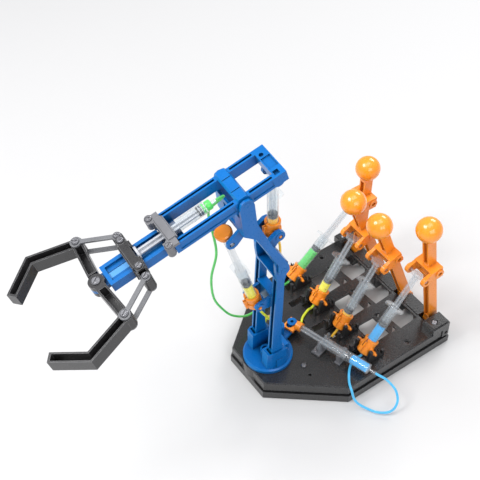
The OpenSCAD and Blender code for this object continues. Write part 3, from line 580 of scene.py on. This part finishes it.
def on_boom(x, y, z):
    return BOOM @ Vector((x, y, z))


def smooth_curve(points):
    """Catmull-Rom curve through the points."""
    curve = []
    for i in range(len(points) - 1):
        a, b, c = points[max(i - 1, 0)], points[i], points[i + 1]
        d = points[min(i + 2, len(points) - 1)]
        for k in range(CURVE_STEPS):
            t = k / CURVE_STEPS
            curve.append(0.5 * ((2 * b) + (c - a) * t + (2 * a - 5 * b + 4 * c - d) * t * t
                                + (3 * b - a - 3 * c + d) * t ** 3))
    return curve + [points[-1]]


def sweep(name, curve, material):
    """Round rod along a curve, with flat ends."""
    bm = bmesh.new()
    rings = []
    side = None
    for i, centre in enumerate(curve):
        ahead = (curve[min(i + 1, len(curve) - 1)] - curve[max(i - 1, 0)]).normalized()
        if side is None:
            side = ahead.cross(Vector((0.3, 1, 0.2))).normalized()
        else:
            side = (side - ahead * side.dot(ahead)).normalized()
        other = ahead.cross(side)
        angles = [2 * math.pi * k / TUBE_SIDES for k in range(TUBE_SIDES)]
        rings.append([bm.verts.new((centre + side * TUBE_RADIUS * math.cos(angle)
                                    + other * TUBE_RADIUS * math.sin(angle)) * MM)
                      for angle in angles])
    for a, b in zip(rings[:-1], rings[1:]):
        for k in range(TUBE_SIDES):
            after = (k + 1) % TUBE_SIDES
            bm.faces.new((a[k], a[after], b[after], b[k]))
    bm.faces.new(rings[0][::-1])
    bm.faces.new(rings[-1])
    return add_object(name, bm, material)


def tube(name, colour, master, route, runs):
    """Tube from a master's nozzle along the route, cut where it passes between bodies.

    Each run is the index of its last point and the one or two bodies it spans; a run on one body
    is attached to it, and a run between two bodies stays fixed.
    """
    points = [nozzle(MASTERS[master], 0.5), nozzle(MASTERS[master], 2)]
    points += [Vector(point) for point in route]
    curve = smooth_curve(points)
    first = 0
    for number, (last, *bodies) in enumerate(runs, 1):
        start, end = first * CURVE_STEPS, last * CURVE_STEPS
        run = sweep(f"{name}_run_{number}", curve[start:end + 1], TUBE[colour])
        if len(bodies) == 1:
            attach(run, bodies[0])
        else:
            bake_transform(run)
        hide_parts(name)
        first = last


# Routes are x, y, z points
tube("tube_gripper", "green", 0, [
    (-65.5, -59.2, 23.6), (-54, -56, 27), (-30, -48, 29), (-6, -41, 35), (14, -38, 52),
    (28, -34.5, 76), (39, -31, 104), (43.4, -26, 140), (40.6, -20, 176), (43, -20.6, 206),
    (46.2, -20.2, 230), (47.4, -12, 246),
    on_boom(44.6, -2, -8), on_boom(48.6, 0, -4.2), on_boom(51.8, 0, -GRIP_DROP),
], [(2, "master_barrel_1", "base"), (8, "base", "turntable"), (11, "turntable", "link"),
    (16, "link", "boom")])
tube("tube_tilt", "yellow", 1, [
    (-68.5, -20.8, 20.4), (-63.5, -19.2, 22.9), (-54, -15, 23.2), (-49.5, -11.6, 20.9),
    (-46, -9.6, 16.2), (-39, -10.5, 13.6), (-28, -19, 13.8), (-20, -27.5, 15),
    (-17.8, -29.3, 19.5), (-17.5, -29.5, 25), (-17.6, -26, 36), (-15.5, -15, 48),
    (-10, -5, 59), (-4, -1.4, 70), (3.6, -0.8, 84), (8.6, -0.8, 94),
    nozzle(FRONT, 4.5), nozzle(FRONT, 2), nozzle(FRONT, 0.3),
], [(2, "master_barrel_2", "base"), (11, "base"), (15, "base", "turntable"),
    (20, "turntable", "front_barrel")])
tube("tube_pitch", "gold", 2, [
    (-67, 17.1, 17.6), (-61.5, 16.9, 11.5), (-50, 12.5, 8.5), (-37, 0, 8.5), (-26, -15, 8.5),
    (-16, -26.5, 11), (-11.4, -30, 16.5), (-10.5, -30.5, 23.5), (-10.8, -28.5, 33),
    (-11.4, -20.5, 48), (-10.4, -8, 66), (-9, 0, 92), (-9.5, 0, 130), (-13, 0, 150),
    (-13.4, 0, 168), on_arm(-10.4, 0, 180),
    on_arm(REAR_FOOT[0], 0, REAR_FOOT[1] - 13), on_arm(REAR_FOOT[0], 0, REAR_FOOT[1] - 10.35),
], [(2, "master_barrel_3", "base"), (9, "base"), (12, "base", "turntable"),
    (19, "turntable", "link")])
tube("tube_slew", "blue", 3, [
    (-64.2, 54.8, 22.9), (-57, 57.8, 23.3), (-49.5, 64, 23.2), (-42, 73.5, 23.3),
    (-38.5, 81.5, 22), (-38.5, 87, 13), (-43.5, 93, 5), (-52, 106, 3.2), (-62, 113, 5),
    (-70, 112, 12), (-72.3, 105.5, 22), (-69, 95.5, 29.8), on_slew(102), on_slew(99.2),
], [(2, "master_barrel_4", "base"), (15, "base")])


# ---------------------------------------------------------------- stage, light, camera (metres)
def floor(half=4.0, cells=40):
    bm = bmesh.new()
    places = [-half + 2 * half * i / cells for i in range(cells + 1)]
    grid = [[bm.verts.new((x, y, 0)) for y in places] for x in places]
    for i in range(cells):
        for j in range(cells):
            bm.faces.new((grid[i][j], grid[i + 1][j], grid[i + 1][j + 1], grid[i][j + 1]))
    material, tree = new_material("floor")
    inputs = {"Base Color": (0.60, 0.595, 0.59, 1), "Roughness": 0.6}
    output(tree, node(tree, "BsdfPrincipled", inputs))
    new = add_object("floor", bm, material, solid=False)
    new.location.z = -0.0002               # just clear of the base


def area_light(name, place, target, size, power, colour=(1, 1, 1)):
    light = bpy.data.lights.new(name, "AREA")
    light.shape = "RECTANGLE"
    light.size = size
    light.size_y = size * 0.7
    light.energy = power
    light.color = colour
    new = bpy.data.objects.new(name, light)
    scene.collection.objects.link(new)
    new.location = place
    aim = Vector(target) - Vector(place)
    new.rotation_euler = aim.to_track_quat("-Z", "Y").to_euler()


def camera(place, azimuth, elevation, roll):
    """Camera on the +X +Y side looking down; angles in radians."""
    data = bpy.data.cameras.new("cam")
    new = bpy.data.objects.new("cam", data)
    scene.collection.objects.link(new)
    forward = -Vector((math.cos(elevation) * math.cos(azimuth),
                       math.cos(elevation) * math.sin(azimuth), math.sin(elevation)))
    level = forward.cross(Vector((0, 0, 1))).normalized()
    right = level * math.cos(roll) + level.cross(forward) * math.sin(roll)
    pose = Matrix((right, right.cross(forward), -forward)).transposed().to_4x4()
    pose.translation = Vector(place)
    new.matrix_world = pose
    data.sensor_width = 36
    data.lens = 84.0
    data.shift_x = 0.016
    data.shift_y = -0.0231
    data.clip_start = 0.01
    data.clip_end = 20
    scene.camera = new


floor()
world = bpy.data.worlds.new("w")
scene.world = world
world.use_nodes = True
background = world.node_tree.nodes["Background"]
background.inputs["Color"].default_value = (0.93, 0.95, 1.0, 1)
background.inputs["Strength"].default_value = 0.55
area_light("key", (0.75, -0.35, 1.25), target=(0, 0, 0.1), size=0.7, power=16)
area_light("fill", (0.2, 1.3, 0.9), target=(0, 0, 0.1), size=1.0, power=8, colour=(0.97, 0.98, 1))
area_light("rim", (-1.1, -0.4, 0.9), target=(0, 0, 0.12), size=0.6, power=7)
area_light("top", (0.0, 0.1, 1.6), target=(0, 0, 0.1), size=1.2, power=9)
camera((0.3824, 0.5289, 0.9033), azimuth=math.radians(56.787),
       elevation=math.radians(47.125), roll=math.radians(-2.047))
scene.cycles.transparent_max_bounces = 32
scene.view_settings.view_transform = "Standard"

record_size()
